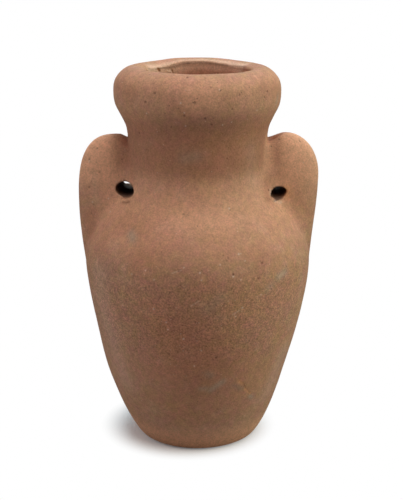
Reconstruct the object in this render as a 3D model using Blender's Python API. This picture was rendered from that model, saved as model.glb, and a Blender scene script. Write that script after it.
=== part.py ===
"""A miniature amphora of fired clay, in one piece.

It has a small flat foot, a hollow tapering body, a short neck with a thick rolled rim, and two
ear lugs at the sides of the neck, each pierced front to back for a cord. Metres, +Z up. The
origin is the middle of the flat underside, the lugs lie along X and the cord holes run along Y.
"""

import math

import bpy

# The turned body, from the underside up. Radii are measured from the vessel's axis.
FOOT_RADIUS = 0.0068  # flat of the underside
BELLY_RADIUS = 0.01342
BELLY_HEIGHT = 0.0235  # the widest place, above the underside
SHOULDER_RISE = 0.0070  # from the widest place to the root of the neck
NECK_RADIUS = 0.0081
NECK_FILLET = 0.0046  # where the shoulder runs into the neck
NECK_LENGTH = 0.0070  # from its root to the underside of the rim
RIM_OVERHANG = 0.00154  # how far the rim stands out beyond the neck
RIM_HEIGHT = 0.0075

# The clay's thickness
NECK_WALL = 0.0020
BELLY_WALL = 0.0027
FLOOR_THICKNESS = 0.0034
LIP_DROP = 0.0004  # the mouth's inner edge, below the crest of the rim
LIP_SPREAD = 0.0002  # how much wider the mouth is than the bore of the neck

# How full the curves are. A higher number is a fuller, squarer curve.
BELLY_FULLNESS = 1.5
FOOT_FULLNESS = 1.36
SHOULDER_FULLNESS = 2.15

# Both lugs
LUG_THICKNESS = 0.0072  # at its lower end
LUG_THINNING = 0.35  # the share of it that is lost on the way up to the top
LUG_SQUARENESS = 2.2  # of the plan section: 2 is an ellipse
LUG_FILLET = 0.0022  # where a lug's faces run into the neck
LUG_SADDLE_DROP = 0.00085  # where the lug's top meets the neck, below the rim
LUG_TOP_DEPTH = 0.0007  # the band of the neck that runs out into the lug's top

# Each lug by itself, because they were pinched by hand: the left one has a squarer corner
LEFT_LUG = {
    "side": -1,
    "reach": 0.00063,  # beyond the belly
    "widest_rise": -0.0020,  # its furthest reach, above the root of the neck
    "toe_drop": 0.0085,  # from the widest place of the belly down to its lower end
    "edge_fullness": 1.5,  # of its long edge, from the furthest reach down to the toe
    "corner_squareness": 3.0,  # of its upper outer corner, seen from the front
    "crest_out": 0.00095,  # its highest place, out from the neck
    "crest_drop": 0.00052,  # its highest place, below the rim
    "dip": 0.0001,  # the hollow between its highest place and the neck
    "hole_radius": 0.00102,
    "hole_rise": 0.00065,  # the hole's middle, above the root of the neck
    "hole_web": 0.00082,  # clay between the bore of the neck and the hole
    "hole_slope": 1.5,  # degrees that the hole rises towards the back
    "hole_turn": 7.5,  # degrees that its back end is turned in to the vessel's axis
}
RIGHT_LUG = {
    "side": 1,
    "reach": 0.00079,
    "widest_rise": 0.0016,
    "toe_drop": 0.0058,
    "edge_fullness": 1.5,
    "corner_squareness": 2.1,
    "crest_out": 0.0021,
    "crest_drop": 0.00032,
    "dip": 0.0009,
    "hole_radius": 0.00088,
    "hole_rise": 0.00032,
    "hole_web": 0.00244,
    "hole_slope": 8.5,
    "hole_turn": 0.0,
}
DIMPLE_RADIUS = 0.0016  # the press of the tool around each hole
DIMPLE_DEPTH = 0.0003

# How finely the shapes are divided
TURN_STEPS = 72
HOLE_STEPS = 24
SIDE_DENSITY = 0.42  # 1 spaces the upright edges evenly, less crowds them at the lugs

BODY_HEIGHT = BELLY_HEIGHT + SHOULDER_RISE
RIM_UNDERSIDE = BODY_HEIGHT + NECK_LENGTH
HEIGHT = RIM_UNDERSIDE + RIM_HEIGHT
RIM_RADIUS = NECK_RADIUS + RIM_OVERHANG
BORE_RADIUS = NECK_RADIUS - NECK_WALL
MOUTH_RADIUS = BORE_RADIUS + LIP_SPREAD
CREST_RADIUS = (MOUTH_RADIUS + RIM_RADIUS) / 2 - LIP_SPREAD


def clear_scene():
    for thing in list(bpy.data.objects):
        bpy.data.objects.remove(thing)


def bulge(share):
    """How much of the way out the belly is, at a share of the way up to its widest place."""
    return (1 - (1 - share) ** BELLY_FULLNESS) ** (1 / FOOT_FULLNESS)


def belly_radius(height):
    return FOOT_RADIUS + (BELLY_RADIUS - FOOT_RADIUS) * bulge(height / BELLY_HEIGHT)


def smooth_max(a, b, blend):
    """The larger of two values, with the corner between them rounded."""
    overlap = max(blend - abs(a - b), 0) / blend
    return max(a, b) + overlap**2 * blend / 4


def smooth_curve(points, steps):
    """A curve through the points, with a number of steps between each two."""
    ends = [points[0], *points, points[-1]]
    curve = []
    for before, start, end, after in zip(ends, ends[1:], ends[2:], ends[3:]):
        for step in range(steps):
            t = step / steps
            curve.append(tuple(
                0.5 * (2 * b + (c - a) * t + (2 * a - 5 * b + 4 * c - d) * t**2 + (3 * b - a - 3 * c + d) * t**3)
                for a, b, c, d in zip(before, start, end, after)
            ))
    return [*curve, tuple(points[-1])]


def outside_profile():
    """(radius, height) from the middle of the underside, up the outside, to the mouth's inner edge."""
    belly_rows, shoulder_rows, neck_rows, lug_top_rows = 13, 10, 6, 4
    profile = []
    for row in range(belly_rows):
        share = (row / belly_rows) ** 2
        profile.append((belly_radius(BELLY_HEIGHT * share), BELLY_HEIGHT * share))
    for row in range(shoulder_rows + 4):  # on past the root of the neck, for the fillet
        share = row / shoulder_rows
        shoulder = BELLY_RADIUS - (BELLY_RADIUS - NECK_RADIUS) * share**SHOULDER_FULLNESS
        profile.append((smooth_max(shoulder, NECK_RADIUS, NECK_FILLET), BELLY_HEIGHT + SHOULDER_RISE * share))
    saddle = RIM_UNDERSIDE - LUG_SADDLE_DROP
    for top, rows in ((saddle - LUG_TOP_DEPTH, neck_rows), (saddle, lug_top_rows)):
        foot = profile[-1][1]
        profile += [(NECK_RADIUS, foot + (top - foot) * row / rows) for row in range(1, rows + 1)]
    # The rolled rim, as shares of its overhang and height
    roll = [(0, -0.05), (0.14, 0.10), (0.50, 0.26), (0.88, 0.42), (1, 0.60), (0.90, 0.78), (0.46, 0.92)]
    rim = [(NECK_RADIUS + RIM_OVERHANG * out, RIM_UNDERSIDE + RIM_HEIGHT * up) for out, up in roll]
    rim += [(CREST_RADIUS, HEIGHT), (MOUTH_RADIUS + LIP_DROP, HEIGHT - LIP_DROP / 2)]
    rim += [(MOUTH_RADIUS, HEIGHT - LIP_DROP)]
    return [(0, 0), *profile, *smooth_curve(rim, 2)]


def hollow_profile():
    """(radius, height) from below the mouth's edge, down the inside, to the middle of the floor."""
    inner_foot = FOOT_RADIUS - BELLY_WALL
    inner_belly = BELLY_RADIUS - BELLY_WALL
    inner_root = BODY_HEIGHT - NECK_WALL / 2
    belly_rows, shoulder_rows = 6, 6
    profile = [(0, FLOOR_THICKNESS)]
    for row in range(belly_rows):
        share = (row / belly_rows) ** 2
        height = FLOOR_THICKNESS + (BELLY_HEIGHT - FLOOR_THICKNESS) * share
        profile.append((inner_foot + (inner_belly - inner_foot) * bulge(share), height))
    for row in range(shoulder_rows + 1):
        share = row / shoulder_rows
        radius = inner_belly - (inner_belly - BORE_RADIUS) * share**SHOULDER_FULLNESS
        profile.append((radius, BELLY_HEIGHT + (inner_root - BELLY_HEIGHT) * share))
    profile += [(BORE_RADIUS, HEIGHT - 6 * LIP_DROP), (MOUTH_RADIUS, HEIGHT - 3 * LIP_DROP)]
    return profile[::-1]


def crowd_at_sides(angle):
    """Moves an upright edge of a turned shape towards the lugs, to give them enough faces."""
    quarter = math.pi / 2
    lap = math.floor(angle / math.pi + 0.5) * math.pi
    off = (angle - lap) / quarter
    return lap + quarter * (SIDE_DENSITY * off + (1 - SIDE_DENSITY) * off**3)


def turn(name, profile):
    """A solid of revolution about Z, as on a wheel, from a profile that starts and ends on the axis."""
    angles = [crowd_at_sides(2 * math.pi * step / TURN_STEPS) for step in range(TURN_STEPS)]
    rings = profile[1:-1]
    verts = [(0, 0, profile[0][1])]
    verts += [(radius * math.cos(a), radius * math.sin(a), height) for radius, height in rings for a in angles]
    verts.append((0, 0, profile[-1][1]))
    faces = []
    for step in range(TURN_STEPS):
        here, beside = 1 + step, 1 + (step + 1) % TURN_STEPS
        faces.append((0, beside, here))
        for ring in range(len(rings) - 1):
            faces.append((here, beside, beside + TURN_STEPS, here + TURN_STEPS))
            here, beside = here + TURN_STEPS, beside + TURN_STEPS
        faces.append((here, beside, len(verts) - 1))
    mesh = bpy.data.meshes.new(name)
    mesh.from_pydata(verts, [], faces)
    turned = bpy.data.objects.new(name, mesh)
    bpy.context.collection.objects.link(turned)
    return turned


def lug_outline(lug, height):
    """(reach, height) of the lug's edge seen from the front, for a row of the body at that height."""
    toe = BELLY_HEIGHT - lug["toe_drop"]
    widest = BODY_HEIGHT + lug["widest_rise"]
    saddle = RIM_UNDERSIDE - LUG_SADDLE_DROP
    crest_row = saddle - LUG_TOP_DEPTH
    reach = BELLY_RADIUS + lug["reach"]
    crest_x = NECK_RADIUS + lug["crest_out"]
    crest_z = RIM_UNDERSIDE - lug["crest_drop"]
    if not toe < height < saddle:
        return None
    if height < widest:  # the long edge, from the toe up
        short = (1 - (height - toe) / (widest - toe)) ** lug["edge_fullness"]
        return reach - (reach - belly_radius(toe)) * short, height
    if height < crest_row:  # the upper outer corner
        turned = (height - widest) / (crest_row - widest) * math.pi / 2
        power = 2 / lug["corner_squareness"]
        across = (reach - crest_x) * math.cos(turned) ** power
        return crest_x + across, widest + (crest_z - widest) * math.sin(turned) ** power
    share = (height - crest_row) / (saddle - crest_row)  # the top, in to the neck
    level = crest_z * (1 - share) + saddle * share - lug["dip"] * math.sin(math.pi * share**2)
    return crest_x * (1 - share) + NECK_RADIUS * share, level


def lug_half_thickness(lug, height):
    toe = BELLY_HEIGHT - lug["toe_drop"]
    share = (height - toe) / (RIM_UNDERSIDE - LUG_SADDLE_DROP - toe)
    return LUG_THICKNESS / 2 * (1 - LUG_THINNING * share**2)


def pinch_out_lugs(verts):
    """Draws the clay at both sides of the neck out into flat ear lugs."""
    for vert in verts:
        radius, height = math.hypot(vert.co.x, vert.co.y), vert.co.z
        if radius < 1e-6:
            continue
        along, across = vert.co.x / radius, vert.co.y / radius
        lug = RIGHT_LUG if along > 0 else LEFT_LUG
        outline = lug_outline(lug, height)
        excess = outline[0] - radius if outline else 0
        if excess > 0:
            plan = (abs(along) / outline[0]) ** LUG_SQUARENESS
            plan += (abs(across) / lug_half_thickness(lug, height)) ** LUG_SQUARENESS
            pulled = smooth_max(radius, plan ** (-1 / LUG_SQUARENESS), min(LUG_FILLET, excess))
            height += (outline[1] - height) * (pulled - radius) / excess
            radius = pulled
        vert.co = (radius * along, radius * across, height)


def hole_centre(lug):
    """(x, z) of the cord hole's axis, half way through the lug."""
    out = BORE_RADIUS + lug["hole_web"] + lug["hole_radius"]
    return lug["side"] * out, BODY_HEIGHT + lug["hole_rise"]


def press_dimples(verts):
    """Presses the lugs' faces in a little around the cord holes."""
    for lug in (LEFT_LUG, RIGHT_LUG):
        x, z = hole_centre(lug)
        for vert in verts:
            away = math.hypot(vert.co.x - x, vert.co.z - z) / DIMPLE_RADIUS
            press = DIMPLE_DEPTH * math.exp(-(away**2))
            vert.co.y -= math.copysign(min(press, abs(vert.co.y)), vert.co.y)


def cut(body, cutter):
    cutter.hide_render = True
    cutter.display_type = "WIRE"
    boolean = body.modifiers.new(cutter.name, "BOOLEAN")
    boolean.operation = "DIFFERENCE"
    boolean.solver = "EXACT"
    boolean.object = cutter


def cord_hole(name, lug):
    x, z = hole_centre(lug)
    bpy.ops.mesh.primitive_cylinder_add(
        vertices=HOLE_STEPS, radius=lug["hole_radius"], depth=2 * BELLY_RADIUS, location=(x, 0, z),
        rotation=(math.radians(90 + lug["hole_slope"]), 0, lug["side"] * math.radians(lug["hole_turn"])),
    )
    hole = bpy.context.object
    hole.name = name
    return hole


def fired_clay():
    clay = bpy.data.materials.new("fired clay")
    clay.use_nodes = True
    shader = clay.node_tree.nodes["Principled BSDF"]
    shader.inputs["Base Color"].default_value = (0.42, 0.22, 0.13, 1)
    shader.inputs["Roughness"].default_value = 0.9
    shader.inputs["Metallic"].default_value = 0.0
    return clay


def main():
    clear_scene()
    outside = outside_profile()
    amphora = turn("amphora", outside + hollow_profile())
    outside_verts = amphora.data.vertices[: 1 + (len(outside) - 1) * TURN_STEPS]
    pinch_out_lugs(outside_verts)
    press_dimples(outside_verts)
    amphora.data.materials.append(fired_clay())
    cut(amphora, cord_hole("left cord hole", LEFT_LUG))
    cut(amphora, cord_hole("right cord hole", RIGHT_LUG))
    amphora.data.shade_smooth()
    amphora.data.set_sharp_from_angle(angle=math.radians(50))


main()
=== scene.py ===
import math
import random

import bmesh
import bpy
import numpy as np
from mathutils import Matrix, Vector, noise
from mathutils.bvhtree import BVHTree


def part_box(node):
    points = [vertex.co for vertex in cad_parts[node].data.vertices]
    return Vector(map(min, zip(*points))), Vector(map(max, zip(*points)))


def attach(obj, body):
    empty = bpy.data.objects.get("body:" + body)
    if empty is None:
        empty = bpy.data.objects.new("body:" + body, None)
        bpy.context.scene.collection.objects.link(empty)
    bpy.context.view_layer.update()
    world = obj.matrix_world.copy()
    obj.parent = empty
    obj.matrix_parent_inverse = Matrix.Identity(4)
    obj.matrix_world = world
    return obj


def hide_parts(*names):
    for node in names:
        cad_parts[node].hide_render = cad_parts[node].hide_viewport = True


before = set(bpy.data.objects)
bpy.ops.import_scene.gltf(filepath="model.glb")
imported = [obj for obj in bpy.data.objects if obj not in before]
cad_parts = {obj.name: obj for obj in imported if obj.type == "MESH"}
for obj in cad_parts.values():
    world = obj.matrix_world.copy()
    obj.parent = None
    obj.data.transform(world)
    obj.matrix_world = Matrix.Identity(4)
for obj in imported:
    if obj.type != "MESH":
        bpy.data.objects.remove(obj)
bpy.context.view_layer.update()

nodeLow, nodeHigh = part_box("amphora")
mm = 0.001  # the sizes below are in millimetres, and the meshes in metres

# The camera, where the photograph was taken from: a little above the rim and about three heights away
photo = {
    "width": 403,  # pixels
    "height": 500,
    "place": (0.46, -135.0, 61.9),
    "pitch": 16.11,  # degrees down from level
    "focalPixels": 1169.7,
    "sensor": 36,  # the longer side, which the picture's height fills
    "nearest": 0.01,  # the camera sees what lies between these two, in metres
    "furthest": 20,
}


def addCamera():
    lens = bpy.data.cameras.new("camera")
    lens.sensor_width = photo["sensor"]
    lens.lens = photo["focalPixels"] / photo["height"] * photo["sensor"]
    lens.clip_start = photo["nearest"]
    lens.clip_end = photo["furthest"]
    camera = bpy.data.objects.new("camera", lens)
    camera.location = Vector(photo["place"]) * mm
    camera.rotation_euler = (math.radians(90 - photo["pitch"]), 0, 0)
    bpy.context.collection.objects.link(camera)
    bpy.context.scene.camera = camera


# A pixel of the photograph as a ray in the scene, in millimetres
def pixelRay(pixel):
    across = (pixel[0] - (photo["width"] - 1) / 2) / photo["focalPixels"]
    down = (pixel[1] - (photo["height"] - 1) / 2) / photo["focalPixels"]
    turn = Matrix.Rotation(math.radians(90 - photo["pitch"]), 3, "X")
    return Vector(photo["place"]), (turn @ Vector((across, -down, -1))).normalized()


addCamera()
print("camera set")

# The form of the vessel. It keeps the CAD model's profiles, a little softened and with far more faces.
vessel = {
    "height": nodeHigh.z / mm,
    "bellyRadius": nodeHigh.y / mm,
    "footRadius": 6.8,
    "bellyHeight": 23.5,
    "shoulderRise": 7.0,
    "neckRadius": 8.1,
    "neckFillet": 4.6,
    "neckLength": 7.0,
    "rimOverhang": 1.54,
    "rimHeight": 7.5,
    "neckWall": 2.0,
    "bellyWall": 2.7,
    "floorThickness": 3.4,
    "lipDrop": 0.4,
    "lipSpread": 0.2,
    "throatDrops": (1.6, 6, 16),  # the mouth's edge and the throat's bends, in lip drops below the crest
    "wallLean": 0.04,  # how far the wall leans in, above and below the mouth's edge
    "bellyFullness": 1.5,
    "footFullness": 1.36,
    "shoulderFullness": 2.15,
    "shoulderEnd": 1.3,  # its curve goes on past the root of the neck, for the fillet
    "sag": 0.7,  # how far the widest place has sunk in the wet clay
    "sagReach": 7.0,
    "softness": 2.6,  # how widely the edges between foot and rim are rounded
    "softHeights": (8, 14, 32.5, 36),  # where the rounding sets in and is full, and where it ends again
    "lean": -0.24,  # how far the lower belly sits to one side
    "leanHeight": 8.0,
    "leanSpread": 5.5,
    "footEdge": 0.55,  # the round of the foot's edge
    "floorRing": 0.4,  # the innermost ring of the hollow's floor
}
# How finely it is divided
fineness = {
    "belly": 600, "shoulder": 400, "neck": 300, "rim": 40,  # steps of the profiles before rows are picked
    "throat": 60, "innerShoulder": 200, "innerBelly": 300, "floor": 60,
    "columns": 320,  # upright lines of the mesh
    "circle": 7200,  # steps round the vessel, before the columns are picked
    "outerRows": 160,
    "innerRows": 34,
    "innerCrowding": 1.9,  # how much closer together the inner rows lie at the mouth
    "edgeRows": (0.1, 0.3, 0.6),  # more rows on the foot's round edge, as shares of it
    "lipRows": (7, 18, 29, 46, 58, 70, 88, 102, 116),  # more rows at the mouth, in steps from its edge
    "footRings": (0.1, 0.25, 0.45, 0.65, 0.80, 0.90),  # on the flat underside, as shares of its radius
}
# The rolled rim, as shares of its overhang and height
rimRoll = [(0, -0.05), (0.14, 0.10), (0.50, 0.26), (0.88, 0.42), (1, 0.60), (0.90, 0.78), (0.46, 0.92)]
lugs = {
    "thickness": 7.2,  # at the toe
    "thinning": 0.35,  # the share of it that is lost on the way to the top
    "squareness": 2.2,
    "fillet": 2.2,
    "saddleDrop": 0.85,
    "topDepth": 0.7,
}
leftLug = {
    "side": -1, "reach": -nodeLow.x / mm, "widestRise": -2.0, "toeDrop": 8.5, "edgeFullness": 1.5,
    "cornerSquareness": 3.0, "crestOut": 0.95, "crestDrop": 0.52, "dip": 0.1,
    "holeRadius": 1.02, "holeRise": 0.46, "holeWeb": 0.86, "holeSlope": -2.9, "holeTurn": 6.6,
    "holeShape": (1.24, 0.82),  # its width and height as shares of the round hole
}
rightLug = {
    "side": 1, "reach": nodeHigh.x / mm, "widestRise": 1.6, "toeDrop": 5.8, "edgeFullness": 1.5,
    "cornerSquareness": 2.1, "crestOut": 2.1, "crestDrop": 0.32, "dip": 0.9,
    "holeRadius": 0.88, "holeRise": 0.44, "holeWeb": 2.44, "holeSlope": 8.5, "holeTurn": 0.0,
    "holeShape": (1.08, 0.80),
}
bodyHeight = vessel["bellyHeight"] + vessel["shoulderRise"]
rimUnderside = bodyHeight + vessel["neckLength"]
boreRadius = vessel["neckRadius"] - vessel["neckWall"]
mouthRadius = boreRadius + vessel["lipSpread"]
crestRadius = (mouthRadius + vessel["neckRadius"] + vessel["rimOverhang"]) / 2 - vessel["lipSpread"]
edgeDrop, bendDrop, boreDrop = (drops * vessel["lipDrop"] for drops in vessel["throatDrops"])
mouthEdge = (mouthRadius, vessel["height"] - edgeDrop)
saddle = rimUnderside - lugs["saddleDrop"]


def bulge(share):
    return (1 - (1 - share) ** vessel["bellyFullness"]) ** (1 / vessel["footFullness"])


def bellyRadiusAt(height):
    widening = vessel["bellyRadius"] - vessel["footRadius"]
    return vessel["footRadius"] + widening * bulge(height / vessel["bellyHeight"])


def smoothMax(a, b, blend):
    overlap = np.maximum(blend - np.abs(a - b), 0) / blend
    return np.maximum(a, b) + overlap**2 * blend / 4


# A curve through the points, with a number of steps between each two
def smoothCurve(points, steps):
    ends = np.array([points[0], *points, points[-1]], float)
    t = np.linspace(0, 1, steps, endpoint=False)[:, None]
    parts = []
    for a, b, c, d in zip(ends, ends[1:], ends[2:], ends[3:]):
        square = (2 * a - 5 * b + 4 * c - d) * t**2
        cube = (3 * b - a - 3 * c + d) * t**3
        parts.append(0.5 * (2 * b + (c - a) * t + square + cube))
    return np.vstack([*parts, ends[-1:]])


# The profile with its widest place a little lower and softly rounded
def sagged(profile):
    radius, height = profile.T
    sunk = vessel["sag"] * np.exp(-(((height - vessel["bellyHeight"]) / vessel["sagReach"]) ** 2))
    softness = vessel["softness"] * np.interp(height, vessel["softHeights"], (0, 1, 1, 0))
    total, weights = 0, 0
    for offset in np.linspace(-1, 1, 21):
        place = height + sunk + softness * offset
        weight = 1 - offset**2
        total = total + weight * np.interp(place, height, radius)
        weights += weight
    return np.column_stack([total / weights, height])


# (radius, height) up the outside, from the edge of the flat foot over the rim to the mouth's edge
def outerProfile():
    v = vessel
    share = np.linspace(0, 1, fineness["belly"]) ** 2
    belly = np.column_stack([bellyRadiusAt(share * v["bellyHeight"]), share * v["bellyHeight"]])
    share = np.linspace(0, v["shoulderEnd"], fineness["shoulder"])[1:]
    shoulder = v["bellyRadius"] - (v["bellyRadius"] - v["neckRadius"]) * share ** v["shoulderFullness"]
    shoulder = smoothMax(shoulder, v["neckRadius"], v["neckFillet"])
    shoulder = np.column_stack([shoulder, v["bellyHeight"] + v["shoulderRise"] * share])
    neck = np.linspace(shoulder[-1, 1], saddle, fineness["neck"])[1:]
    neck = np.column_stack([np.full_like(neck, v["neckRadius"]), neck])
    body = sagged(np.vstack([belly, shoulder, neck]))
    under = np.clip(1 - body[:, 1] / v["footEdge"], 0, 1)
    body[:, 0] -= v["footEdge"] * (1 - np.sqrt(1 - under**2))
    roll = np.array(rimRoll) * (v["rimOverhang"], v["rimHeight"]) + (v["neckRadius"], rimUnderside)
    rim = smoothCurve([
        *roll, (crestRadius, v["height"]), (mouthRadius + v["lipDrop"], v["height"] - v["lipDrop"] / 2),
        (mouthRadius + v["wallLean"], v["height"] - v["lipDrop"]), mouthEdge,
    ], fineness["rim"])
    return np.vstack([body, rim])


# (radius, height) down the inside, from below the mouth's edge to the middle of the hollow's floor
def innerProfile():
    v = vessel
    innerFoot = v["footRadius"] - v["bellyWall"]
    innerBelly = v["bellyRadius"] - v["bellyWall"]
    innerRoot = bodyHeight - v["neckWall"] / 2
    throat = smoothCurve([
        mouthEdge, (mouthRadius - v["wallLean"], v["height"] - bendDrop),
        (boreRadius, v["height"] - boreDrop), (boreRadius, innerRoot),
    ], fineness["throat"])
    share = np.linspace(1, 0, fineness["innerShoulder"])
    radius = innerBelly - (innerBelly - boreRadius) * share ** v["shoulderFullness"]
    shoulder = np.column_stack([radius, v["bellyHeight"] + (innerRoot - v["bellyHeight"]) * share])
    share = np.linspace(1, 0, fineness["innerBelly"])[1:] ** 2
    radius = innerFoot + (innerBelly - innerFoot) * bulge(share)
    height = v["floorThickness"] + (v["bellyHeight"] - v["floorThickness"]) * share
    belly = np.column_stack([radius, height])
    radius = np.linspace(innerFoot, v["floorRing"], fineness["floor"])
    floor = np.column_stack([radius, np.full_like(radius, v["floorThickness"])])
    return np.vstack([throat[1:], shoulder[1:], belly, floor[1:]])


# (reach, height) of a lug's edge as seen from the front, for rows of the body at those heights
def lugOutline(lug, heights):
    toe = vessel["bellyHeight"] - lug["toeDrop"]
    widest = bodyHeight + lug["widestRise"]
    crestRow = saddle - lugs["topDepth"]
    crestX = vessel["neckRadius"] + lug["crestOut"]
    crestZ = rimUnderside - lug["crestDrop"]
    share = np.clip((heights - toe) / (widest - toe), 0, 1)
    edge = lug["reach"] - (lug["reach"] - bellyRadiusAt(toe)) * (1 - share) ** lug["edgeFullness"]
    turned = np.clip((heights - widest) / (crestRow - widest), 0, 1) * math.pi / 2
    power = 2 / lug["cornerSquareness"]
    cornerX = crestX + (lug["reach"] - crestX) * np.maximum(np.cos(turned), 0) ** power
    cornerZ = widest + (crestZ - widest) * np.sin(turned) ** power
    share = np.clip((heights - crestRow) / (saddle - crestRow), 0, 1)
    topX = crestX * (1 - share) + vessel["neckRadius"] * share
    topZ = crestZ * (1 - share) + saddle * share - lug["dip"] * np.sin(math.pi * share**2)
    reach = np.where(heights < widest, edge, np.where(heights < crestRow, cornerX, topX))
    level = np.where(heights < widest, heights, np.where(heights < crestRow, cornerZ, topZ))
    inside = (heights > toe) & (heights < saddle)
    return np.where(inside, reach, 0), np.where(inside, level, heights)


# Draws grid points at the sides out into the lugs
def pinchOutLugs(radius, height, angle):
    along, across = np.cos(angle), np.sin(angle)
    for lug in (leftLug, rightLug):
        reach, level = lugOutline(lug, height)
        excess = reach - radius
        onLug = (excess > 0) & (along * lug["side"] > 0)
        safeReach = np.where(onLug, reach, 1)
        toe = vessel["bellyHeight"] - lug["toeDrop"]
        share = np.clip((height - toe) / (saddle - toe), 0, 1)
        halfThickness = lugs["thickness"] / 2 * (1 - lugs["thinning"] * share**2)
        plan = (np.abs(along) / safeReach) ** lugs["squareness"]
        plan = plan + (np.abs(across) / halfThickness) ** lugs["squareness"]
        blend = np.where(onLug, np.minimum(lugs["fillet"], excess), 1)
        pulled = smoothMax(radius, plan ** (-1 / lugs["squareness"]), np.maximum(blend, 1e-6))
        rise = (level - height) * (pulled - radius) / np.where(onLug, excess, 1)
        height = np.where(onLug, height + rise, height)
        radius = np.where(onLug, pulled, radius)
    return radius, height


# Picks points along curves that share a parameter, so that they lie about evenly on all of them,
# or closer together at the start
def evenSteps(curves, count, crowding=1):
    travelled = 0
    for curve in curves:
        steps = np.linalg.norm(np.diff(curve, axis=0), axis=1)
        travelled = travelled + np.concatenate([[0], np.cumsum(steps)]) / steps.sum()
    travelled = travelled / len(curves)
    return np.interp(np.linspace(0, 1, count) ** crowding, travelled, np.arange(len(travelled)))


def pickRows(profile, at):
    index = np.arange(len(profile))
    return np.column_stack([np.interp(at, index, profile[:, 0]), np.interp(at, index, profile[:, 1])])


# The angles of the upright lines, closer together at the lugs
def columnAngles():
    angles = np.linspace(0, 2 * math.pi, fineness["circle"])
    around = np.column_stack([np.cos(angles), np.sin(angles)])
    level = np.full_like(angles, bodyHeight + 1)  # a section through both lugs
    radius, _ = pinchOutLugs(np.full_like(angles, vessel["neckRadius"]), level, angles)
    circles = [around * vessel["bellyRadius"], around * radius[:, None]]
    at = evenSteps(circles, fineness["columns"] + 1)[:-1]
    return np.interp(at, np.arange(len(angles)), angles)


# How far the mouth's edge is worn down, and then the whole top of the rim: angle, spread and depth. The
# angle is 0 at the right and 90 at the back.
lipWear = [(146, 27, 0.34), (92, 22, -0.18), (45, 12, 0.10), (250, 40, 0.06)]
crestWear = [(155, 32, 0.14), (28, 38, 0.20)]
# The lip's wear reaches a little outside the crest, and fades out below it
wearReach = {"outside": 0.4, "below": 2.4, "fade": 1.6, "steepness": 1.2}


def wearAt(places, angle):
    wear = 0
    for middle, spread, depth in places:
        off = (np.degrees(angle) - middle + 180) % 360 - 180
        wear = wear + depth * np.exp(-((off / spread) ** 4))
    return wear


def wornLip(radius, height, angle):
    outermost = crestRadius + wearReach["outside"]
    nearEdge = np.clip((outermost - radius) / (outermost - mouthRadius), 0, 1)
    nearTop = np.clip((height - (vessel["height"] - wearReach["below"])) / wearReach["fade"], 0, 1)
    worn = wearAt(lipWear, angle) * (nearEdge * nearTop) ** wearReach["steepness"]
    return height - worn - wearAt(crestWear, angle) * nearTop


def gridNormals(points):
    around = np.roll(points, -1, axis=1) - np.roll(points, 1, axis=1)
    along = np.gradient(points, axis=0)
    normals = np.cross(around, along)
    return normals / np.maximum(np.linalg.norm(normals, axis=2, keepdims=True), 1e-9)


# The hand-made unevenness of the clay: scale and depth of each size of lump
lumps = [(10.0, 0.10), (4.0, 0.045), (1.5, 0.014), (0.6, 0.007)]
lumpShift = Vector((31.7, 12.3, 5.9))  # moves each size of lump away from the others
lumpFade = {"foot": 1.5, "inside": 0.6}  # they come in over this height, and are lower in the hollow


def lumpiness(point):
    total = 0
    for number, (scale, depth) in enumerate(lumps, 1):
        total += depth * noise.noise(point / scale + lumpShift * number)
    return total


# The mesh's rows as one profile from the underside to the hollow's floor, and which of them are outside
def gridProfile():
    outer = outerProfile()
    upright = [outer]
    for lug in (leftLug, rightLug):
        reach, level = lugOutline(lug, outer[:, 1])
        upright.append(np.column_stack([np.maximum(outer[:, 0], reach), level]))
    edgeHeights = np.array(fineness["edgeRows"]) * vessel["footEdge"]
    edgeRows = np.searchsorted(outer[:fineness["belly"], 1], edgeHeights)
    lipRows = len(outer) - 1 - np.array(fineness["lipRows"])
    rows = [evenSteps(upright, fineness["outerRows"]), edgeRows, lipRows]
    outer = pickRows(outer, np.sort(np.concatenate(rows)))
    inner = innerProfile()
    inner = pickRows(inner, evenSteps([inner], fineness["innerRows"], fineness["innerCrowding"]))
    footRings = [(share * vessel["footRadius"], 0) for share in fineness["footRings"]]
    profile = np.vstack([footRings, outer, inner])
    return profile, np.arange(len(profile)) < len(footRings) + len(outer)


def vesselGrid():
    profile, outside = gridProfile()
    angle, radius = np.meshgrid(columnAngles(), profile[:, 0])
    height = np.repeat(profile[:, 1:], fineness["columns"], axis=1)
    pulled, raised = pinchOutLugs(radius, height, angle)
    radius = np.where(outside[:, None], pulled, radius)
    height = np.where(outside[:, None], raised, height)
    height = wornLip(radius, height, angle)
    points = np.stack([radius * np.cos(angle), radius * np.sin(angle), height], axis=2)
    normals = gridNormals(points)
    for row in range(len(profile)):
        fade = min(1, height[row].mean() / lumpFade["foot"]) if outside[row] else lumpFade["inside"]
        for column in range(fineness["columns"]):
            lump = lumpiness(Vector(points[row, column]))
            points[row, column] += normals[row, column] * lump * fade
    away = (points[..., 2] - vessel["leanHeight"]) / vessel["leanSpread"]
    points[..., 0] += vessel["lean"] * np.exp(-(away**2))
    return points, outside


def vesselMesh():
    points, outside = vesselGrid()
    rows, columns = points.shape[:2]
    bm = bmesh.new()
    grid = [[bm.verts.new(point) for point in row] for row in points]
    bottom = bm.verts.new((0, 0, 0))
    top = bm.verts.new((0, 0, points[-1, :, 2].mean()))
    for column in range(columns):
        beside = (column + 1) % columns
        bm.faces.new((bottom, grid[0][beside], grid[0][column]))
        bm.faces.new((top, grid[-1][column], grid[-1][beside])).material_index = 1
        for row in range(rows - 1):
            low, high = grid[row], grid[row + 1]
            face = bm.faces.new((low[column], low[beside], high[beside], high[column]))
            face.material_index = 0 if outside[row] else 1
    bm.normal_update()
    return bm


body = vesselMesh()
print("vessel turned,", len(body.verts), "points")

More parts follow.
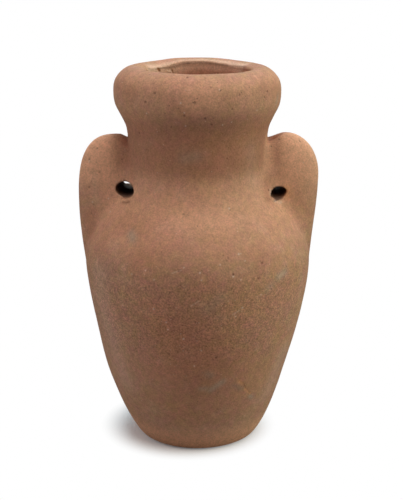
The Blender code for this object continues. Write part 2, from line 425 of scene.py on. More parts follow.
# Stains on the clay, and colours of painted highlight and painted shade, as linear colours
stainAndLightColours = {
    "darkShade": (0.085, 0.045, 0.03),
    "pale": (0.86, 0.7, 0.56),
    "chalk": (0.42, 0.4, 0.3),
    "ash": (0.3, 0.235, 0.19),
    "ochreAndLight": (0.8, 0.38, 0.17),
    "rustAndShade": (0.42, 0.17, 0.095),
    "highlightClay": (0.88, 0.47, 0.285),
    "bounceLight": (0.68, 0.43, 0.32),
    "tan": (0.93, 0.62, 0.43),
}
# Kinds of small round mark. A depth below nothing stands out instead.
markKinds = {
    # pits and pinholes are darkened as painted shade in their hollows
    "pit": {"radius": 0.11, "depth": 0.13, "stainAndLight": "darkShade", "strength": 0.92},
    "pinhole": {"radius": 0.085, "depth": 0.08, "stainAndLight": "darkShade", "strength": 0.78},
    "grain": {"radius": 0.085, "depth": -0.03, "stainAndLight": "pale", "strength": 0.95},
    "fleck": {"radius": 0.075, "depth": -0.015, "stainAndLight": "pale", "strength": 0.78},
}
# Where the photograph shows them, in its pixels
seenMarks = {
    "pit": [
        (154.3, 93.2), (145, 101.6), (194.1, 102.2), (186.6, 76.9), (204.4, 118.2), (139, 132.3),
        (266.8, 91), (99, 171.8), (88.7, 186.8), (232.6, 274.4), (261.4, 262.9), (257.6, 278.2),
        (211, 124.2), (183.8, 115.2), (268, 189.7), (168.2, 353.4),
    ],
    "pinhole": [
        (264, 96.5), (239, 94.7), (219.8, 90.4), (210.2, 87.4), (171, 126.5), (231.7, 108.6),
        (96.7, 147.8), (88.7, 159), (90.7, 181.2), (121.5, 159), (278.4, 138.9), (299.4, 140.9),
        (226.4, 158), (269.5, 199), (280.7, 210.6), (182.8, 213.9), (227.7, 257.6), (222.7, 255.3),
        (226, 260.6), (215.5, 304.7), (222.7, 304.9), (196.6, 308), (157.3, 318.8), (172.6, 318.8),
        (183.3, 295.8), (169.5, 292), (223.9, 336), (250.7, 299.6), (244.5, 318.5), (119, 286.6),
        (115.2, 271.6), (169.5, 359.2), (212, 359), (215.4, 357.2), (178, 271.2), (90.7, 212.9),
        (177.7, 108.2), (229.6, 209.4),
    ],
    "grain": [
        (153.2, 308.4), (182.9, 338.4), (241.8, 307.3), (238.2, 253.6), (109.8, 211.3), (199.4, 272.5),
        (232.8, 276.2), (180.2, 102.6), (228.6, 208),
    ],
    "fleck": [
        (183.3, 267.2), (145, 270), (131.3, 273.6), (165.7, 321.8), (235, 316), (219.6, 264.4),
        (244.5, 260.3), (201, 279.7), (153.5, 279.3), (260.6, 294.3), (240.4, 279.3), (200.8, 350),
        (193.8, 365.5), (146.2, 112.9), (183.8, 112.3), (185, 125.6), (256.5, 109.8), (222, 124.4),
        (231, 121.6), (219, 89.2), (88.7, 160.5), (108, 198), (92, 201.6), (167.4, 329),
    ],
}
# Marks with a shape of their own: stain, strength, radius, depth, and their path in the same pixels
shapedMarks = [
    # the tool's notch below the left cord hole, with the clay that it pushed up; its groove and dents are
    # darkened as painted shade, and the pushed-up clay is a painted highlight
    ("darkShade", 0.75, 0.11, 0.15, [(122, 201.7), (124.8, 202.5), (128.4, 201.8)]),
    ("highlightClay", 0.5, 0.13, -0.09, [(121.6, 199.6), (125, 200.4), (128.6, 199.8)]),
    ("rustAndShade", 0.55, 0.13, 0.05, [(121.2, 197.7), (124.8, 197.8)]),
    ("darkShade", 0.5, 0.12, 0.1, [(128.6, 195), (129, 196.6)]),
    # two nicks and two pale streaks in the wall of the mouth
    ("darkShade", 0.6, 0.12, 0.22, [(157.6, 68.2), (159.2, 70.6)]),
    ("darkShade", 0.6, 0.09, 0.14, [(171.4, 69.8), (172.3, 71.8)]),
    ("pale", 0.3, 0.08, -0.05, [(166.5, 70.2), (171, 71.8)]),
    ("pale", 0.35, 0.1, -0.05, [(242, 65.2), (242.8, 69)]),
    # scrapes on the belly
    ("ochreAndLight", 0.62, 0.22, 0.03, [(238.6, 380.6), (242.4, 383.4)]),
    ("ochreAndLight", 0.58, 0.16, 0.03, [(244.8, 388.6), (249.8, 393)]),
    ("rustAndShade", 0.5, 0.09, 0.05, [(243.5, 384.5), (244.8, 387.8)]),
    ("pale", 0.3, 0.07, 0.03, [(171.5, 272.8), (181, 269.6)]),
    ("pale", 0.35, 0.07, 0.03, [(232.5, 314), (239.5, 309.6)]),
    ("darkShade", 0.25, 0.06, 0.04, [(176, 287.4), (186, 281)]),
    ("pale", 0.3, 0.06, 0.02, [(190, 306), (198.5, 300.5)]),
]
# Soft stains without depth, and soft painted highlight and painted shade: stain, strength, radius and
# path
softStainsAndLight = [
    ("chalk", 0.52, 0.55, [(130.5, 233), (132.5, 238)]),
    ("chalk", 0.45, 0.5, [(278, 276.5), (284.5, 271.5)]),
    ("chalk", 0.25, 0.5, [(267, 288.5), (271, 285)]),
    ("chalk", 0.2, 0.8, [(206, 309.5), (219.5, 297.5)]),
    ("chalk", 0.58, 0.45, [(207, 373.5), (210.5, 375)]),
    ("chalk", 0.62, 0.42, [(210, 389.5), (222.5, 381)]),
    ("chalk", 0.54, 0.32, [(200.5, 388.5), (204.5, 388)]),
    ("ash", 0.4, 0.4, [(233, 385), (240, 388)]),
    ("chalk", 0.45, 0.3, [(249.5, 395.5), (251.5, 397)]),
    ("chalk", 0.22, 0.75, [(184, 158), (196, 156)]),
    ("chalk", 0.35, 0.4, [(277.5, 96), (276, 102)]),
    ("chalk", 0.2, 0.6, [(94, 176), (95.5, 200)]),
    ("ash", 0.14, 1.6, [(108, 268), (118, 262)]),
    ("rustAndShade", 0.22, 0.7, [(176, 108), (186, 116)]),
    # painted shade in the dent above the right cord hole, in the crease between the left lug and the
    # shoulder, and on the lower belly, which faces down
    ("rustAndShade", 0.22, 0.9, [(284, 172), (298, 180)]),
    ("rustAndShade", 0.22, 1.6, [(105, 232), (100, 252)]),
    ("rustAndShade", 0.56, 4.9, [(180, 336), (200, 366)]),
    # painted highlight where the right lug meets the neck, and painted shade beside the right cord hole
    # and in the corner between the neck and the left lug
    ("highlightClay", 0.6, 0.9, [(266, 140), (268, 166)]),
    ("rustAndShade", 0.5, 0.75, [(266, 182), (267.5, 198)]),
    ("rustAndShade", 0.4, 0.8, [(128, 142), (131, 178)]),
    # painted light thrown up from the floor on the lower flanks, and painted light on the lit wall of the
    # right cord hole
    ("bounceLight", 0.38, 2, [(98, 275), (112, 340), (124, 380)]),
    ("bounceLight", 0.35, 1.5, [(282, 352), (266, 392)]),
    ("ochreAndLight", 0.7, 0.55, [(286, 188.5), (286.8, 194.5)]),
    # painted highlight on the rim's front, painted shade at the rim's ends and under the rim, and painted
    # highlight on the faces of the lugs
    ("highlightClay", 0.6, 1.2, [(188, 98), (208, 98)]),
    ("rustAndShade", 0.28, 1.3, [(120, 78), (129, 92)]),
    ("rustAndShade", 0.26, 1.3, [(262, 88), (276, 86)]),
    ("darkShade", 0.16, 1, [(165, 123), (198, 124), (232, 123)]),
    ("highlightClay", 0.34, 1.6, [(97, 148), (95, 192)]),
    ("highlightClay", 0.4, 1.7, [(290, 146), (306, 192)]),
    # painted shade low on the left lug and on the shoulder beside it, painted highlight along the
    # shoulder, painted shade across the upper belly, and painted light from the floor on the foot's front
    ("rustAndShade", 0.42, 1.2, [(90, 218), (91, 232)]),
    ("highlightClay", 0.42, 1.3, [(178, 221), (222, 221)]),
    ("rustAndShade", 0.3, 1.5, [(124, 221), (138, 228)]),
    ("rustAndShade", 0.26, 1.5, [(140, 256), (260, 256)]),
    ("pale", 0.07, 1.5, [(150, 418), (200, 428), (246, 418)]),
    # painted highlight on the lip at the back of the mouth, the tan wall below it, and painted shade as
    # the dark line between them
    ("tan", 0.66, 0.5, [(150, 66), (167, 64), (184, 61), (200, 59.8), (214, 60.6), (227, 62), (245, 64)]),
    ("tan", 0.76, 0.4, [(149.5, 70), (154, 71), (158, 71.6), (170, 70.6), (186, 67.6), (200, 66.6),
        (216, 67.4), (240, 69.8)]),
    ("darkShade", 0.5, 0.14, [(148, 68.3), (159.4, 67.7), (167.4, 67.4), (174.3, 65.9), (181.2, 63.8),
        (188, 62.7)]),
    ("darkShade", 0.42, 0.14, [(188, 62.7), (199.6, 62.1), (208.7, 62.7), (217.9, 63.8), (227.1, 64.8),
        (236.3, 65.6), (246, 66.2)]),
    ("pale", 0.06, 1.1, [(250, 148), (252, 182)]),
    # painted highlight on the edge of the right cord hole
    ("pale", 0.38, 0.13, [(270, 189.5), (269.8, 194), (271.6, 198.8), (276, 201.5), (281, 201.5)]),
]
# Bands all round of painted highlight on the foot, the upper belly, the shoulder, the lug tops and the
# rim, and of painted shade on the neck under the rim: a stain, its strength, and the heights and the
# distances from the axis between which it lies, with soft edges
paintedLightBands = [
    ("highlightClay", 0.3, (41, 48), (8.4, 20)),
    ("highlightClay", 0.85, (31.5, 40), (10, 20)),
    ("highlightClay", 0.38, (28, 33.5), (7.5, 11.2)),
    ("highlightClay", 0.2, (25.5, 29), (10.6, 13.4)),
    ("highlightClay", 0.9, (-3, 3), (5, 20)),
    ("rustAndShade", 0.55, (33.6, 39.6), (7.2, 9.8)),
]
bandEdge = {"height": 1.8, "reach": 1, "steepness": 4}
markReach = 2.4  # a mark's stain ends this many radii out
# How many marks of each kind the sides get that the photograph doesn't show, and where
scattered = {
    "pinhole": 46, "fleck": 34, "pit": 10, "seed": 23,
    "turns": (-18, 198),  # from the right over the back to the left, in degrees
    "clearOfFoot": 1.5,
    "clearOfRim": 1,
    "castFrom": 60,  # from outside, towards the axis
}


# A mark's places on the clay, found from the camera
def castPath(tree, path):
    hits = [tree.ray_cast(*pixelRay(pixel))[:2] for pixel in path]
    return [place for place, _ in hits], sum((normal for _, normal in hits), Vector()).normalized()


def scatterMarks(tree):
    draw = random.Random(scattered["seed"])
    highest = vessel["height"] - scattered["clearOfRim"]
    away = scattered["castFrom"]
    found = []
    for kind in ("pinhole", "fleck", "pit"):
        for _ in range(scattered[kind]):
            turn = math.radians(draw.uniform(*scattered["turns"]))
            level = draw.uniform(scattered["clearOfFoot"], highest)
            start = Vector((away * math.cos(turn), away * math.sin(turn), level))
            place, normal = tree.ray_cast(start, Vector((-start.x, -start.y, 0)).normalized())[:2]
            found.append({**markKinds[kind], "places": [place], "normal": normal})
    return found


# All marks, in the order in which they are painted over each other
def collectMarks(tree):
    found = []

    def add(path, look):
        places, normal = castPath(tree, path)
        found.append({**look, "places": places, "normal": normal})

    for stainAndLight, strength, radius, path in softStainsAndLight:
        add(path, {"stainAndLight": stainAndLight, "strength": strength, "radius": radius})
    for stainAndLight, strength, radius, depth, path in shapedMarks:
        add(path, {"stainAndLight": stainAndLight, "strength": strength, "radius": radius, "depth": depth})
    for kind, pixels in seenMarks.items():
        for pixel in pixels:
            add([pixel], markKinds[kind])
    return found + scatterMarks(tree)


# Distance from each point to the nearest place on a mark's path
def distanceTo(points, places):
    places = [np.array(place) for place in places]
    nearest = np.linalg.norm(points - places[0], axis=1)
    for start, end in zip(places, places[1:]):
        along = end - start
        share = np.clip((points - start) @ along / (along @ along), 0, 1)
        nearest = np.minimum(nearest, np.linalg.norm(points - start - share[:, None] * along, axis=1))
    return nearest


def pointsOf(bm):
    return np.array([vert.co[:] for vert in bm.verts])


# Divides the faces around the small marks, so that they can take their shape
def refineNear(bm, marks, cuts=3, margin=0.16):
    points = pointsOf(bm)
    near = np.zeros(len(points), bool)
    for mark in marks:
        near |= distanceTo(points, mark["places"]) < mark["radius"] + margin
    bm.verts.ensure_lookup_table()
    faces = [face for index in np.flatnonzero(near) for face in bm.verts[index].link_faces]
    edges = list(dict.fromkeys(edge for face in faces for edge in face.edges))  # each once, in order
    bmesh.ops.subdivide_edges(bm, edges=edges, cuts=cuts, use_grid_fill=True)
    bm.normal_update()


# A mark is a soft hollow or rise that ends this many radii out, with a slightly uneven edge
pressing = {"reach": 2, "steepness": 1.2, "unevenness": 0.5, "unevenScale": 9}


def pressMarks(bm, marks):
    points = pointsOf(bm)
    moved = np.zeros_like(points)
    for mark in marks:
        share = distanceTo(points, mark["places"]) / mark["radius"]
        push = np.array(mark["normal"]) * mark["depth"]
        for index in np.flatnonzero(share < pressing["reach"]):
            uneven = noise.noise(Vector(points[index]) * pressing["unevenScale"])
            away = share[index] * (1 + pressing["unevenness"] * uneven)
            moved[index] -= push * math.exp(-(away**2) * pressing["steepness"])
    for vert, shift in zip(bm.verts, moved):
        vert.co += Vector(shift)
    bm.normal_update()


clayMarks = collectMarks(BVHTree.FromBMesh(body))
smallMarks = [mark for mark in clayMarks if "depth" in mark]
refineNear(body, smallMarks)
pressMarks(body, smallMarks)
print(len(clayMarks), "marks pressed in,", len(body.verts), "points")


def makeObject(name, bm):
    bmesh.ops.scale(bm, vec=(mm, mm, mm), verts=bm.verts)
    for face in bm.faces:
        face.smooth = True
    mesh = bpy.data.meshes.new(name)
    bm.to_mesh(mesh)
    bm.free()
    made = bpy.data.objects.new(name, mesh)
    bpy.context.collection.objects.link(made)
    return made


bodyTree = BVHTree.FromBMesh(body)
amphoraClay = makeObject("amphoraClay", body)

# The cord holes: a slightly uneven bore whose ends flare into the lug's faces
bore = {
    "segments": 56,
    "rings": 18,
    "edge": 0.04,  # the round of its ends
    "edgeSteps": 6,
    "waver": 0.05,  # how uneven its wall is, and how quickly that changes along it and round it
    "waverAlong": 0.7,
    "waverRound": 1.4,
    "beyond": 3.0,  # how far the cutter stands out of the clay
    "probes": 8,  # places round the hole where the lug's face is looked for
    "probeRadius": 1.1,
    "probeFrom": 20,
}
# Painted shade inside the cord holes
holeShade = {
    "stainAndLight": "darkShade",
    "strength": 0.85,
    "edge": 1.07,  # how far out from the hole's axis it reaches, as a share of the hole
    "edgeFade": 0.04,
    "end": 5.0,  # how far from the vessel's middle plane it reaches
    "endFade": 1.4,
}


# A cord hole's axis: x and z of its middle, and how much they change towards the back
def holeAxis(lug):
    out = boreRadius + lug["holeWeb"] + lug["holeRadius"]
    drift = -lug["side"] * math.tan(math.radians(lug["holeTurn"]))
    slope = math.tan(math.radians(lug["holeSlope"]))
    return lug["side"] * out, bodyHeight + lug["holeRise"], drift, slope


# How far out a lug's face stands around a cord hole
def faceOf(tree, x, z, side):
    spots = []
    for step in range(bore["probes"]):
        turn = step / bore["probes"] * 2 * math.pi
        across, up = bore["probeRadius"] * math.cos(turn), bore["probeRadius"] * math.sin(turn)
        start = Vector((x + across, side * bore["probeFrom"], z + up))
        spots.append(abs(tree.ray_cast(start, Vector((0, -side, 0)))[0].y))
    return sum(spots) / len(spots)


# (y, flare) of the cutter's rings, from in front of the lug to behind it
def boreStations(front, back):
    edge, steps = bore["edge"], bore["edgeSteps"]
    turns = [step / steps * math.pi / 2 for step in range(steps + 1)]  # a quarter circle into each face
    corner = [(edge * (1 - math.cos(turn)), edge * (1 - math.sin(turn))) for turn in turns]
    stations = [(front - bore["beyond"], edge)] + [(front + deep, flare) for deep, flare in corner]
    stations += [(y, 0) for y in np.linspace(front + edge, back - edge, bore["rings"])[1:-1]]
    stations += [(back - deep, flare) for deep, flare in corner[::-1]]
    return [*stations, (back + bore["beyond"], edge)]


def boreCutter(name, lug, tree):
    x, z, drift, slope = holeAxis(lug)
    wide, tall = lug["holeShape"]
    bm = bmesh.new()
    rings = []
    for y, flare in boreStations(-faceOf(tree, x, z, -1), faceOf(tree, x, z, 1)):
        ring = []
        for segment in range(bore["segments"]):
            turn = segment / bore["segments"] * 2 * math.pi
            away = Vector((math.cos(turn), 0, math.sin(turn)))
            spot = Vector((x, y * bore["waverAlong"], z)) + away * bore["waverRound"]
            reach = lug["holeRadius"] + flare + bore["waver"] * noise.noise(spot)
            across, up = away.x * wide * reach, away.z * tall * reach
            ring.append(bm.verts.new((x + drift * y + across, y, z + slope * y + up)))
        rings.append(ring)
    for near, far in zip(rings, rings[1:]):
        for segment in range(bore["segments"]):
            beside = (segment + 1) % bore["segments"]
            bm.faces.new((near[segment], near[beside], far[beside], far[segment]))
    bm.faces.new(rings[0])
    bm.faces.new(rings[-1])
    bmesh.ops.recalc_face_normals(bm, faces=bm.faces)
    return makeObject(name, bm)


# Gives the points an order that is the same each run, which the Boolean doesn't
def sortPoints(mesh):
    bm = bmesh.new()
    bm.from_mesh(mesh)
    for index, vert in enumerate(sorted(bm.verts, key=lambda vert: vert.co[:])):
        vert.index = index
    bm.verts.sort()
    bm.to_mesh(mesh)
    bm.free()


def applyModifiers(thing):
    graph = bpy.context.evaluated_depsgraph_get()
    mesh = bpy.data.meshes.new_from_object(thing.evaluated_get(graph))
    sortPoints(mesh)
    thing.modifiers.clear()
    thing.data = mesh


def pierceLugs(tree):
    for name, lug in (("leftBore", leftLug), ("rightBore", rightLug)):
        cutter = boreCutter(name, lug, tree)
        for clay in amphoraClay.data.materials:
            cutter.data.materials.append(clay)
        cut = amphoraClay.modifiers.new(name, "BOOLEAN")
        cut.object = cutter
        cut.operation = "DIFFERENCE"
        cut.solver = "EXACT"
        applyModifiers(amphoraClay)
        bpy.data.objects.remove(cutter)


# How much of its colour a band, the painted shade in a cord hole or a mark leaves at the places
def bandCover(places, strength, heights, reach):
    x, y, z = places.T
    within = 1
    for values, (low, high), edge in (
        (z, heights, bandEdge["height"]),
        (np.hypot(x, y), reach, bandEdge["reach"]),
    ):
        within = within / (1 + np.exp(-bandEdge["steepness"] * (values - low) / edge))
        within = within / (1 + np.exp(bandEdge["steepness"] * (values - high) / edge))
    return strength * within


def holeShadeCover(places, lug):
    x, y, z = places.T
    middle, level, drift, slope = holeAxis(lug)
    across = (x - middle - drift * y) / lug["holeShape"][0]
    up = (z - level - slope * y) / lug["holeShape"][1]
    share = np.hypot(across, up) / lug["holeRadius"]
    within = np.clip((holeShade["edge"] - share) / holeShade["edgeFade"], 0, 1)
    within = within * np.clip((holeShade["end"] - np.abs(y)) / holeShade["endFade"], 0, 1)
    return holeShade["strength"] * within


def markCover(places, mark):
    share = distanceTo(places, mark["places"]) / mark["radius"]
    return np.where(share > markReach, 0, mark["strength"] * np.exp(-(share**2)))


# Lays a stain, a painted highlight or a painted shade over the paint. The alpha is the cover, already
# multiplied into the colour.
def overlaid(paint, cover, stainAndLight):
    cover = cover[:, None]
    return paint * (1 - cover) + cover * np.array([*stainAndLightColours[stainAndLight], 1])


def paintStainsAndLight():
    mesh = amphoraClay.data
    places = np.empty(len(mesh.vertices) * 3)
    mesh.vertices.foreach_get("co", places)
    places = places.reshape(-1, 3) / mm
    paint = np.zeros((len(places), 4))
    for stainAndLight, *band in paintedLightBands:
        paint = overlaid(paint, bandCover(places, *band), stainAndLight)
    for lug in (leftLug, rightLug):
        paint = overlaid(paint, holeShadeCover(places, lug), holeShade["stainAndLight"])
    for mark in clayMarks:
        paint = overlaid(paint, markCover(places, mark), mark["stainAndLight"])
    # the layer holds the stains together with the painted highlight and painted shade
    layer = mesh.color_attributes.new("stainAndLight", "FLOAT_COLOR", "POINT")
    layer.data.foreach_set("color", paint.ravel())


# The clay outside, and the rawer clay of the hollow and the cord holes
firedLook = {
    "warm": (0.57, 0.287, 0.165, 1),
    "dull": (0.48, 0.265, 0.165, 1),
    "pale": (0.62, 0.36, 0.235, 1),
    "patches": 0.4,
    "mottle": 0.7,
    "grit": 1.0,
}
rawLook = {
    "warm": (0.60, 0.265, 0.155, 1),
    "dull": (0.52, 0.245, 0.160, 1),
    "pale": (0.68, 0.34, 0.205, 1),
    "patches": 0.8,
    "mottle": 0.6,
    "grit": 0.7,
}
# What both share: how much the sand grains and pinholes show, and how the clay shines
surface = {"sand": 0.50, "holes": 0.55, "roughness": 0.82, "specular": 0.35}
# Patches of clay colour: the scale and detail of their noise, and the values between which they set in
patches = {"broad": (0.17, 2.0, 0.40, 0.62), "middling": (0.55, 3.0, 0.52, 0.74)}
# What the mottling multiplies the clay's colour by, from its redder to its yellower spots
mottle = {
    "blush": (1.02, 0.972, 1.045, 1),
    "olive": (0.98, 1.03, 0.965, 1),
    "scales": (0.38, 0.9, 1.9),
    "range": (0.36, 0.64),
}
# The smoothing tool's strokes, in millimetres and degrees
strokeLook = {
    "radius": 12.0,
    "slant": 38,
    "length": 1.0,
    "spacing": 0.30,
    "range": (0.32, 0.68),
    "clusters": (0.35, 0.40, 0.62),  # the scale of their noise, and the values between which they set in
}
# The grain, with a coarser belt round the belly. Coarse, rough and strokes are each a value away from
# the belt, and what the belt adds.
gritLook = {
    "beltFrom": (10, 17),  # the heights between which it sets in, from below and from above
    "beltTo": (26, 20),
    "coarse": (0.35, 0.65),
    "rough": (0.78, 0.92),
    "strokes": (0.25, 0.75),
    "fine": (5.2, 3.0),  # scale and detail
    "speckle": (1.6, 4.0),
    "sand": (2.8, 0.22, 0.50),  # scale of the cells, size of a grain, share of the cells that have one
    "holes": (2.3, 0.21, 0.48),
    "dotSize": (0.5, 0.7),  # the smallest, and what is added by chance
    "dotCore": 0.4,  # the share of a dot that is covered evenly
    "dotCover": (0.2, 0.8),
    "speckleShade": 0.48,
    "strokeShade": 0.075,
    "fineRelief": 0.030,  # in millimetres
    "strokeRelief": 0.008,
    "sandRelief": 0.012,
    "holeRelief": -0.030,
}


# Sets a node's inputs, by name or number, to values or joins them to sockets
def setInputs(tree, node, inputs):
    for name, value in inputs.items():
        if isinstance(value, bpy.types.NodeSocket):
            tree.links.new(value, node.inputs[name])
        else:
            node.inputs[name].default_value = value


def addNode(tree, kind, settings=None, inputs=None):
    node = tree.nodes.new(kind)
    for name, value in (settings or {}).items():
        setattr(node, name, value)
    setInputs(tree, node, inputs or {})
    return node


def mathNode(tree, operation, first, second=0.0, third=0.0):
    inputs = {0: first, 1: second, 2: third}
    return addNode(tree, "ShaderNodeMath", {"operation": operation}, inputs).outputs[0]


def times(tree, first, second):
    return mathNode(tree, "MULTIPLY", first, second)


def remap(tree, value, low, high, toLow=0.0, toHigh=1.0):
    inputs = {"Value": value, "From Min": low, "From Max": high, "To Min": toLow, "To Max": toHigh}
    return addNode(tree, "ShaderNodeMapRange", {"interpolation_type": "SMOOTHSTEP"}, inputs).outputs[0]


def mixColour(tree, factor, first, second, blend="MIX"):
    settings = {"data_type": "RGBA", "blend_type": blend}
    inputs = {"Factor": factor, 6: first, 7: second}  # 6 and 7 are its two colours
    return addNode(tree, "ShaderNodeMix", settings, inputs).outputs[2]


def noiseNode(tree, place, scale, detail=2.0):
    inputs = {"Vector": place, "Scale": scale, "Detail": detail}
    return addNode(tree, "ShaderNodeTexNoise", None, inputs).outputs[0]


# Places in millimetres, moved so that each pattern has its own
def placeNode(tree, move=(0, 0, 0)):
    spot = addNode(tree, "ShaderNodeTexCoord").outputs["Object"]
    inputs = {"Vector": spot, "Location": move, "Scale": [1 / mm] * 3}
    return addNode(tree, "ShaderNodeMapping", None, inputs).outputs[0]


def newGroup(name, inputs, outputs):
    group = bpy.data.node_groups.new(name, "ShaderNodeTree")
    for label, kind, value in inputs:
        group.interface.new_socket(name=label, in_out="INPUT", socket_type=kind).default_value = value
    for label, kind in outputs:
        group.interface.new_socket(name=label, in_out="OUTPUT", socket_type=kind)
    return group, group.nodes.new("NodeGroupInput"), group.nodes.new("NodeGroupOutput")


# Broad and middling patches of clay colour, and a mottling of redder and yellower clay
def clayToneGroup():
    colour, number = "NodeSocketColor", "NodeSocketFloat"
    group, given, result = newGroup(
        "clayTone",
        [(name, colour, firedLook[name.lower()]) for name in ("Warm", "Dull", "Pale")]
        + [("Patches", number, 1.0), ("Mottle", number, 1.0)],
        [("Color", colour)],
    )

    def patch(kind, move):
        scale, detail, low, high = patches[kind]
        mask = remap(group, noiseNode(group, placeNode(group, move), scale, detail), low, high)
        return times(group, mask, given.outputs["Patches"])

    tone = mixColour(group, patch("broad", (0, 0, 0)), given.outputs["Warm"], given.outputs["Dull"])
    tone = mixColour(group, patch("middling", (9, 4, 2)), tone, given.outputs["Pale"])
    for index, scale in enumerate(mottle["scales"]):
        spot = placeNode(group, (5 + 3 * index, 1, 8))
        hue = remap(group, noiseNode(group, spot, scale), *mottle["range"])
        tint = mixColour(group, hue, mottle["olive"], mottle["blush"])
        tone = mixColour(group, given.outputs["Mottle"], tone, tint, "MULTIPLY")
    setInputs(group, result, {"Color": tone})
    return group


# The short slanting strokes of the smoothing tool, from -1 to 1. They rise to the right all round.
def toolStrokes(group, spot):
    x, y, z = addNode(group, "ShaderNodeSeparateXYZ", None, {0: spot}).outputs
    around = times(group, mathNode(group, "ARCTAN2", y, x), strokeLook["radius"])
    sheet = addNode(group, "ShaderNodeCombineXYZ", None, {0: around, 1: z}).outputs[0]
    turn = (0, 0, -math.radians(strokeLook["slant"]))
    sheet = addNode(group, "ShaderNodeMapping", None, {"Vector": sheet, "Rotation": turn}).outputs[0]
    inputs = {0: sheet, 1: (1 / strokeLook["length"], 1 / strokeLook["spacing"], 1)}
    sheet = addNode(group, "ShaderNodeVectorMath", {"operation": "MULTIPLY"}, inputs).outputs[0]
    strokes = remap(group, noiseNode(group, sheet, 1.0, 1.0), *strokeLook["range"], -1.0, 1.0)
    scale, low, high = strokeLook["clusters"]
    clusters = remap(group, noiseNode(group, placeNode(group, (4, 6, 3)), scale), low, high)
    return times(group, strokes, clusters)


# Fine grain, sand and pinholes, with the strokes of the smoothing tool
def clayGritGroup():
    number = "NodeSocketFloat"
    outputs = [(name, number) for name in ("Shade", "Sand", "Holes", "Height")]
    group, given, result = newGroup("clayGrit", [("Grit", number, 1.0)], outputs)
    look = gritLook
    spot = placeNode(group)
    height = addNode(group, "ShaderNodeSeparateXYZ", None, {0: spot}).outputs[2]
    belt = times(group, remap(group, height, *look["beltFrom"]), remap(group, height, *look["beltTo"]))

    def withBelt(kind):
        return mathNode(group, "MULTIPLY_ADD", belt, look[kind][1], look[kind][0])

    def addTimes(value, factor, total):
        return mathNode(group, "MULTIPLY_ADD", value, factor, total)

    coarse = times(group, given.outputs["Grit"], withBelt("coarse"))
    fine = noiseNode(group, spot, *look["fine"])
    speckle = noiseNode(group, placeNode(group, (3, 8, 5)), *look["speckle"])
    strokes = times(group, toolStrokes(group, spot), withBelt("strokes"))

    def dots(move, scale, size, share):
        inputs = {"Vector": placeNode(group, move), "Scale": scale}
        cells = addNode(group, "ShaderNodeTexVoronoi", None, inputs)
        split = addNode(group, "ShaderNodeSeparateColor", None, {0: cells.outputs["Color"]})
        chance, width, cover = split.outputs
        smallest, more = look["dotSize"]
        width = addTimes(width, size * more, size * smallest)
        core = times(group, width, look["dotCore"])
        dot = remap(group, cells.outputs["Distance"], width, core)
        chosen = mathNode(group, "LESS_THAN", chance, times(group, coarse, share))
        least, more = look["dotCover"]
        chosen = times(group, chosen, addTimes(cover, more, least))
        return times(group, dot, chosen)

    sand = dots((2, 5, 1), *look["sand"])
    holes = dots((7, 3, 6), *look["holes"])
    shade = addTimes(mathNode(group, "SUBTRACT", fine, 0.5), withBelt("rough"), 1.0)
    shade = addTimes(mathNode(group, "SUBTRACT", speckle, 0.5), look["speckleShade"], shade)
    # the strokes' facets darken and lighten the colour as painted shade and highlight, besides their bump
    shade = addTimes(strokes, look["strokeShade"], shade)
    relief = times(group, strokes, look["strokeRelief"])
    for value, height in ((fine, "fineRelief"), (sand, "sandRelief"), (holes, "holeRelief")):
        relief = addTimes(value, look[height], relief)
    setInputs(group, result, {"Shade": shade, "Sand": sand, "Holes": holes, "Height": relief})
    return group


clayTone = clayToneGroup()
clayGrit = clayGritGroup()


def clayMaterial(name, look):
    clay = bpy.data.materials.new(name)
    clay.use_nodes = True
    tree = clay.node_tree
    inputs = {name: look[name.lower()] for name in ("Warm", "Dull", "Pale", "Patches", "Mottle")}
    tone = addNode(tree, "ShaderNodeGroup", {"node_tree": clayTone}, inputs)
    grit = addNode(tree, "ShaderNodeGroup", {"node_tree": clayGrit}, {"Grit": look["grit"]})
    stainAndLight = addNode(tree, "ShaderNodeAttribute", {"attribute_name": "stainAndLight"})
    colour = mixColour(tree, stainAndLight.outputs["Alpha"], tone.outputs["Color"], (0, 0, 0, 1))
    colour = mixColour(tree, 1.0, colour, stainAndLight.outputs["Color"], "ADD")
    shade = {channel: grit.outputs["Shade"] for channel in ("Red", "Green", "Blue")}
    shade = addNode(tree, "ShaderNodeCombineColor", None, shade).outputs[0]
    colour = mixColour(tree, 1.0, colour, shade, "MULTIPLY")
    # the sand grains are painted pale, and the pinholes dark as painted shade in them
    for kind, filling in (("Sand", "pale"), ("Holes", "darkShade")):
        cover = times(tree, grit.outputs[kind], surface[kind.lower()])
        colour = mixColour(tree, cover, colour, (*stainAndLightColours[filling], 1))
    inputs = {"Height": grit.outputs["Height"], "Distance": mm, "Strength": 1.0}
    setInputs(tree, tree.nodes["Principled BSDF"], {
        "Base Color": colour,
        "Normal": addNode(tree, "ShaderNodeBump", None, inputs).outputs[0],
        "Roughness": surface["roughness"],
        "Specular IOR Level": surface["specular"],
    })
    return clay


amphoraClay.data.materials.append(clayMaterial("firedClay", firedLook))
amphoraClay.data.materials.append(clayMaterial("rawClay", rawLook))
pierceLugs(bodyTree)
paintStainsAndLight()
print("lugs pierced and clay painted,", len(amphoraClay.data.vertices), "points")
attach(amphoraClay, "root")
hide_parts("amphora")

# Floor and light
studio = {
    "floorSize": 3.0,  # sizes and places are in metres here
    "floorSeen": 0.90,  # its brightness and glow under the vessel, as the camera sees them
    "floorGlow": 0.08,
    "floorBounce": (0.42, 0.40, 0.395, 1),  # its colour for the light that it throws back at the clay
    "shadowCentre": (-0.0012, 0.0010, 0),
    "whiteFrom": 0.0070,  # beyond this far from there the floor goes over to pure white
    "whiteAt": 0.0112,
    "ambience": (0.02, 0.02, 0.02, 1),
    "lampDistance": 0.45,
    "lampSize": 0.30,
}
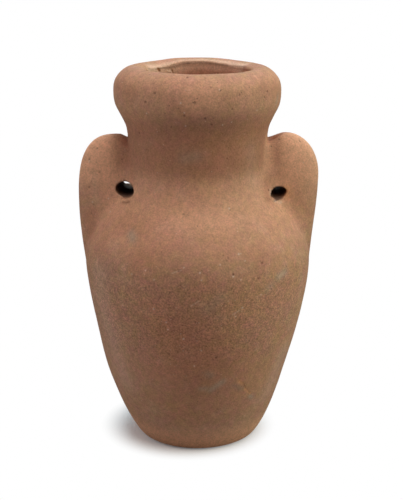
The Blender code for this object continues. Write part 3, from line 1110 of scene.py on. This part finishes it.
# Name, turn, lift, power and colour of each lamp. The turn is 0 at the right and 90 behind.
lamps = [
    ("topLight", 0, 90, 0.72, (1.0, 0.96, 0.96)),
    ("frontLight", 270, 60, 0.12, (1.0, 0.85, 0.64)),
    ("highRightLight", 0, 60, 0.55, (0.75, 0.81, 1.0)),
    ("frontRightLight", 315, 45, 0.30, (1.0, 0.89, 0.66)),
    ("frontLeftLight", 225, 45, 0.20, (0.98, 0.84, 1.0)),
    ("rightFill", 0, 20, 0.60, (0.85, 1.0, 0.74)),
    ("leftFill", 180, 20, 0.36, (0.98, 1.0, 0.93)),
    ("backLight", 90, 50, 0.62, (0.55, 0.88, 1.0)),
]


def addFloor():
    bpy.ops.mesh.primitive_plane_add(size=studio["floorSize"])
    floor = bpy.context.object
    floor.name = "floor"
    white = bpy.data.materials.new("whiteFloor")
    white.use_nodes = True
    tree = white.node_tree
    seen = addNode(tree, "ShaderNodeLightPath").outputs["Is Camera Ray"]
    spot = addNode(tree, "ShaderNodeTexCoord").outputs["Object"]
    inputs = {0: spot, 1: studio["shadowCentre"]}
    away = addNode(tree, "ShaderNodeVectorMath", {"operation": "DISTANCE"}, inputs).outputs["Value"]
    faded = remap(tree, away, studio["whiteFrom"], studio["whiteAt"])
    black, bright = (0, 0, 0, 1), (1, 1, 1, 1)
    colour = mixColour(tree, faded, [studio["floorSeen"]] * 3 + [1], black)
    glow = mixColour(tree, faded, [studio["floorGlow"]] * 3 + [1], bright)
    setInputs(tree, tree.nodes["Principled BSDF"], {
        "Base Color": mixColour(tree, seen, studio["floorBounce"], colour),
        "Emission Color": mixColour(tree, seen, black, glow),
        "Emission Strength": 1.0,
        "Roughness": 1.0,
        "Specular IOR Level": 0.0,
    })
    floor.data.materials.append(white)


def addLamp(name, turn, lift, power, colour):
    light = bpy.data.lights.new(name, "AREA")
    light.shape = "DISK"
    light.size = studio["lampSize"]
    light.energy = power
    light.color = colour
    turn, lift = math.radians(turn), math.radians(lift)
    out = Vector((math.cos(lift) * math.cos(turn), math.cos(lift) * math.sin(turn), math.sin(lift)))
    holder = bpy.data.objects.new(name, light)
    holder.location = out * studio["lampDistance"] + Vector((0, 0, vessel["height"] * mm / 2))
    holder.rotation_euler = out.to_track_quat("Z", "Y").to_euler()
    bpy.context.collection.objects.link(holder)


def addWorld():
    world = bpy.data.worlds.new("studio")
    world.use_nodes = True
    tree = world.node_tree
    seen = addNode(tree, "ShaderNodeLightPath").outputs["Is Camera Ray"]
    colour = mixColour(tree, seen, studio["ambience"], (1, 1, 1, 1))
    setInputs(tree, tree.nodes["Background"], {"Color": colour})
    bpy.context.scene.world = world


addFloor()
for lamp in lamps:
    addLamp(*lamp)
addWorld()
bpy.context.scene.view_settings.view_transform = "Standard"
print("studio set")
